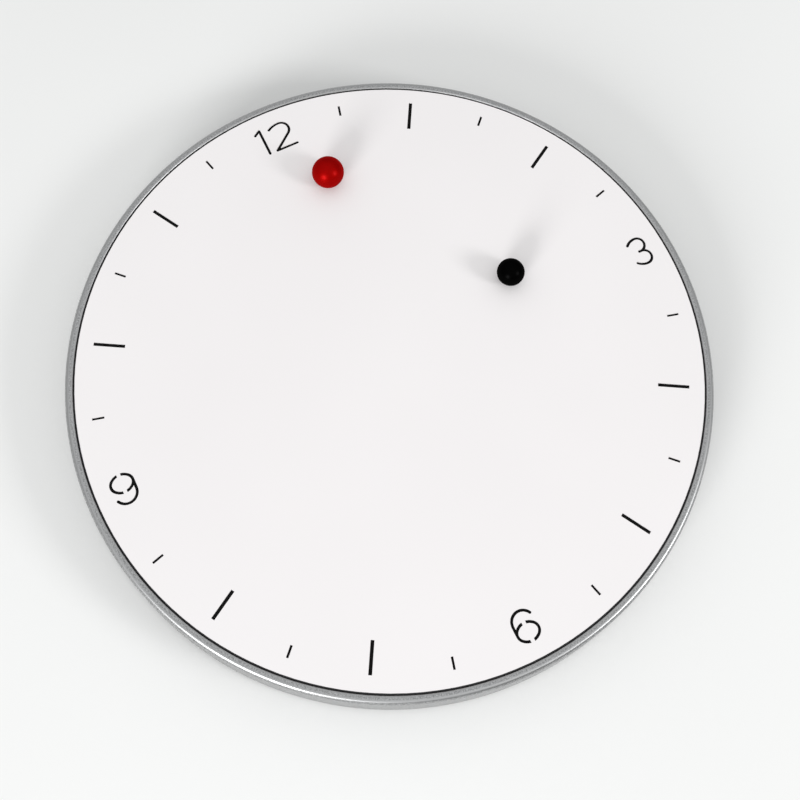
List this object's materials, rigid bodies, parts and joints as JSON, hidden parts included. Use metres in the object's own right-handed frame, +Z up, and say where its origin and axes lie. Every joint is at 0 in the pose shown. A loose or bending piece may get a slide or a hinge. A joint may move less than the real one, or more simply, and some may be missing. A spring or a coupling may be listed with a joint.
{
  "type": "magnetic ball wall clock",
  "caption": "Round wall clock in a satin aluminium rim: a red ball and a black ball circle a white stencilled dial, drawn by magnets on balanced arms behind it",
  "frame": {"origin": "on the clock's axis, in the plane of the back land that rests on the wall", "axes": "+Z up to 12 o'clock, +X to 3 o'clock seen from the front, +Y into the wall, -Y to the viewer"},
  "size_m": [0.3028, 0.0417, 0.3028],
  "materials": {
    "rim_metal": "satin, brushed round the ring",
    "pan_plastic": "fine moulded grain",
    "dial_paint": "matt white powder coat",
    "film_black": "matt black",
    "screw_steel": "zinc plated",
    "movement_plastic": "moulded",
    "cover_plastic": "moulded",
    "gasket_rubber": "matt",
    "bush_brass": "turned",
    "cell_wrap": "plain printed wrap with bare ends",
    "contact_steel": "nickel plated",
    "board_green": "solder resist",
    "chip_resin": "satin resin",
    "crystal_can": "drawn can",
    "bobbin_plastic": "moulded",
    "coil_copper": "enamelled copper wire",
    "core_iron": "punched sheet",
    "wheel_plastic": "moulded",
    "centre_brass": "hobbed",
    "knob_plastic": "fluted",
    "arm_metal": "rolled sheet",
    "magnet_nickel": "nickel plated",
    "weight_brass": "turned",
    "ball_red": "gloss red enamel on steel",
    "ball_black": "gloss black enamel on steel"
  },
  "bodies": {
    "case": {"rim_ring": "rim_metal", "back_pan": "pan_plastic", "dial_plate": "dial_paint", "dial_film": "film_black", "rim_screws": "screw_steel", "movement_case": "movement_plastic", "movement_cover": "cover_plastic", "bush_gasket": "gasket_rubber", "bush_washer": "bush_brass", "bush_nut": "bush_brass", "battery_cell": "cell_wrap", "positive_contact": "contact_steel", "negative_contact": "contact_steel", "circuit_board": "board_green", "driver_chip": "chip_resin", "quartz_crystal": "crystal_can", "coil_bobbin": "bobbin_plastic", "coil_winding": "coil_copper", "coil_core": "core_iron", "stator_plate": "core_iron"},
    "minute_hand": {"centre_wheel": "centre_brass", "minute_arm": "arm_metal", "minute_magnet": "magnet_nickel", "minute_counterweight": "weight_brass", "minute_nut": "bush_brass"},
    "hour_hand": {"hour_wheel": "wheel_plastic", "hour_arm": "arm_metal", "hour_magnet": "magnet_nickel", "hour_counterweight": "weight_brass"},
    "setting": {"motion_wheel": "wheel_plastic", "set_knob": "knob_plastic"},
    "third": {"third_wheel": "wheel_plastic"},
    "seconds": {"seconds_wheel": "wheel_plastic"},
    "intermediate": {"intermediate_wheel": "wheel_plastic"},
    "motor_rotor": {"rotor": "wheel_plastic"},
    "red_ball": {"minute_ball": "ball_red"},
    "black_ball": {"hour_ball": "ball_black"}
  },
  "joints": [
    {"name": "minute_turn", "type": "hinge", "parent": "case", "child": "minute_hand", "pos_m": [0, -0.0086, 0], "axis": [0, 1, 0], "continuous": true},
    {"name": "hour_turn", "type": "hinge", "parent": "case", "child": "hour_hand", "pos_m": [0, -0.0124, 0], "axis": [0, 1, 0], "continuous": true},
    {"name": "motion_turn", "type": "hinge", "parent": "case", "child": "setting", "pos_m": [0.0056, -0.0105, 0.0056], "axis": [0, 1, 0], "continuous": true},
    {"name": "third_turn", "type": "hinge", "parent": "case", "child": "third", "pos_m": [-0.00535, -0.0066, 0.00535], "axis": [0, 1, 0], "continuous": true},
    {"name": "seconds_turn", "type": "hinge", "parent": "case", "child": "seconds", "pos_m": [0, -0.0047, 0], "axis": [0, 1, 0], "continuous": true},
    {"name": "intermediate_turn", "type": "hinge", "parent": "case", "child": "intermediate", "pos_m": [-0.00744, -0.0028, -0.00271], "axis": [0, 1, 0], "continuous": true},
    {"name": "rotor_turn", "type": "hinge", "parent": "case", "child": "motor_rotor", "pos_m": [-0.0142, -0.0028, -0.0009], "axis": [0, 1, 0], "continuous": true},
    {"name": "red_ball_orbit", "type": "hinge", "parent": "case", "child": "red_ball", "pos_m": [0, -0.03395, 0], "axis": [0, 1, 0], "continuous": true},
    {"name": "black_ball_orbit", "type": "hinge", "parent": "case", "child": "black_ball", "pos_m": [0, -0.0328, 0], "axis": [0, 1, 0], "continuous": true}
  ],
  "couplings": [
    {"joint": "hour_turn", "follows": "minute_turn", "ratio": 0.083333},
    {"joint": "motion_turn", "follows": "minute_turn", "ratio": -0.33333},
    {"joint": "third_turn", "follows": "minute_turn", "ratio": -8},
    {"joint": "seconds_turn", "follows": "minute_turn", "ratio": 60},
    {"joint": "intermediate_turn", "follows": "minute_turn", "ratio": -300},
    {"joint": "rotor_turn", "follows": "minute_turn", "ratio": 1800},
    {"joint": "red_ball_orbit", "follows": "minute_turn", "ratio": 1},
    {"joint": "black_ball_orbit", "follows": "minute_turn", "ratio": 0.083333}
  ]
}
